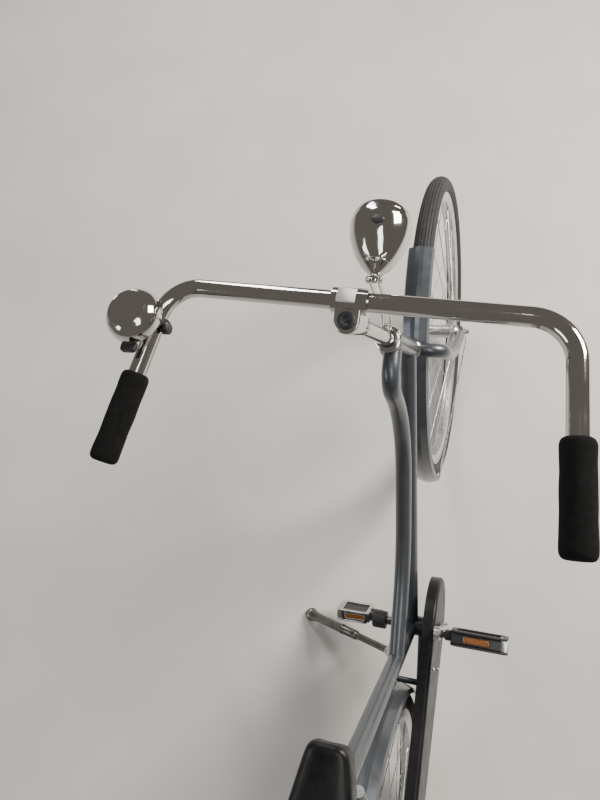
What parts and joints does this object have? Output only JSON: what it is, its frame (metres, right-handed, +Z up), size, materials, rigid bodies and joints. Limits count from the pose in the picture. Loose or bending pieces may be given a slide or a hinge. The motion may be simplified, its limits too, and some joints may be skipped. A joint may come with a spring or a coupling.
{
  "type": "step-through city bicycle",
  "caption": "Step-through city bicycle with mudguards, closed chain case, swept handlebar, headlamp and bell, leaning on its side stand; steering, wheels, cranks, pedals and stand move.",
  "frame": {"origin": "on the floor under the middle of the bounding box of the parked bicycle", "axes": "+X the way the bicycle points, +Y to its left, where it leans onto its stand, +Z up"},
  "size_m": [1.8588, 0.5882, 1.1072],
  "materials": {
    "frame_paint": "metallic slate blue gloss",
    "bright_chrome": "polished",
    "plated_steel": "zinc plated, satin",
    "alloy": "satin",
    "tyre_rubber": "matt with ribbed tread",
    "case_black": "gloss",
    "matt_black": "moulded",
    "grip_foam": "matt foam",
    "saddle_vinyl": "grained vinyl",
    "lamp_glass": "clear",
    "red_plastic": "clear red"
  },
  "bodies": {
    "frame": {"head_tube": "frame_paint", "headset_cups": "bright_chrome", "upper_tube": "frame_paint", "down_tube": "frame_paint", "seat_tube": "frame_paint", "bottom_bracket": "frame_paint", "chainstays": "frame_paint", "seatstays": "frame_paint", "dropouts": "frame_paint", "rear_axle": "plated_steel", "rear_mudguard": "frame_paint", "rear_mudguard_stays": "plated_steel", "chain_case_front": "case_black", "chain_case_rear": "case_black", "ring_lock": "matt_black", "rear_lamp": "red_plastic", "seat_post": "bright_chrome", "seat_collar": "plated_steel", "saddle_frame": "plated_steel", "saddle": "saddle_vinyl", "stand_bracket": "alloy"},
    "steering": {"fork": "frame_paint", "locknut": "bright_chrome", "front_axle": "plated_steel", "front_mudguard": "frame_paint", "front_mudguard_stays": "plated_steel", "stem": "bright_chrome", "handlebar": "bright_chrome", "grip_left": "grip_foam", "grip_right": "grip_foam", "bell_base": "matt_black", "bell_dome": "bright_chrome", "lamp_bracket": "matt_black", "lamp_shell": "bright_chrome", "lamp_lens": "lamp_glass"},
    "front_wheel": {"front_tyre": "tyre_rubber", "front_rim": "alloy", "front_spokes": "plated_steel", "front_hub": "alloy"},
    "rear_wheel": {"rear_tyre": "tyre_rubber", "rear_rim": "alloy", "rear_spokes": "plated_steel", "rear_hub": "alloy"},
    "crankset": {"crank_spindle": "plated_steel", "crank_arm_right": "alloy", "crank_arm_left": "alloy", "pedal_spindles": "plated_steel"},
    "pedal_right": {"pedal_body_right": "matt_black", "pedal_cage_right": "alloy"},
    "pedal_left": {"pedal_body_left": "matt_black", "pedal_cage_left": "alloy"},
    "stand": {"stand_leg": "alloy", "stand_foot": "matt_black"}
  },
  "joints": [
    {"name": "steering_turn", "type": "hinge", "parent": "frame", "child": "steering", "pos_m": [0.28703, -0.03775, 0.83219], "axis": [-0.3955, 0.1897, 0.8986], "range_deg": [-75, 75]},
    {"name": "front_wheel_spin", "type": "hinge", "parent": "steering", "child": "front_wheel", "pos_m": [0.5795, -0.14104, 0.34287], "axis": [0, 0.9784, -0.2065], "continuous": true},
    {"name": "rear_wheel_spin", "type": "hinge", "parent": "frame", "child": "rear_wheel", "pos_m": [-0.5595, -0.14104, 0.34287], "axis": [0, 0.9784, -0.2065], "continuous": true},
    {"name": "crank_spin", "type": "hinge", "parent": "frame", "child": "crankset", "pos_m": [-0.0875, -0.15447, 0.27927], "axis": [0, 0.9784, -0.2065], "continuous": true},
    {"name": "pedal_right_spin", "type": "hinge", "parent": "crankset", "child": "pedal_right", "pos_m": [-0.10055, -0.18863, 0.45972], "axis": [0, 0.9784, -0.2065], "continuous": true},
    {"name": "pedal_left_spin", "type": "hinge", "parent": "crankset", "child": "pedal_left", "pos_m": [-0.07446, -0.12255, 0.0993], "axis": [0, 0.9784, -0.2065], "continuous": true},
    {"name": "stand_fold", "type": "hinge", "parent": "frame", "child": "stand", "pos_m": [-0.1485, -0.123, 0.22255], "axis": [0.0717, 0.7183, 0.692], "range_deg": [0, 104.1]}
  ]
}
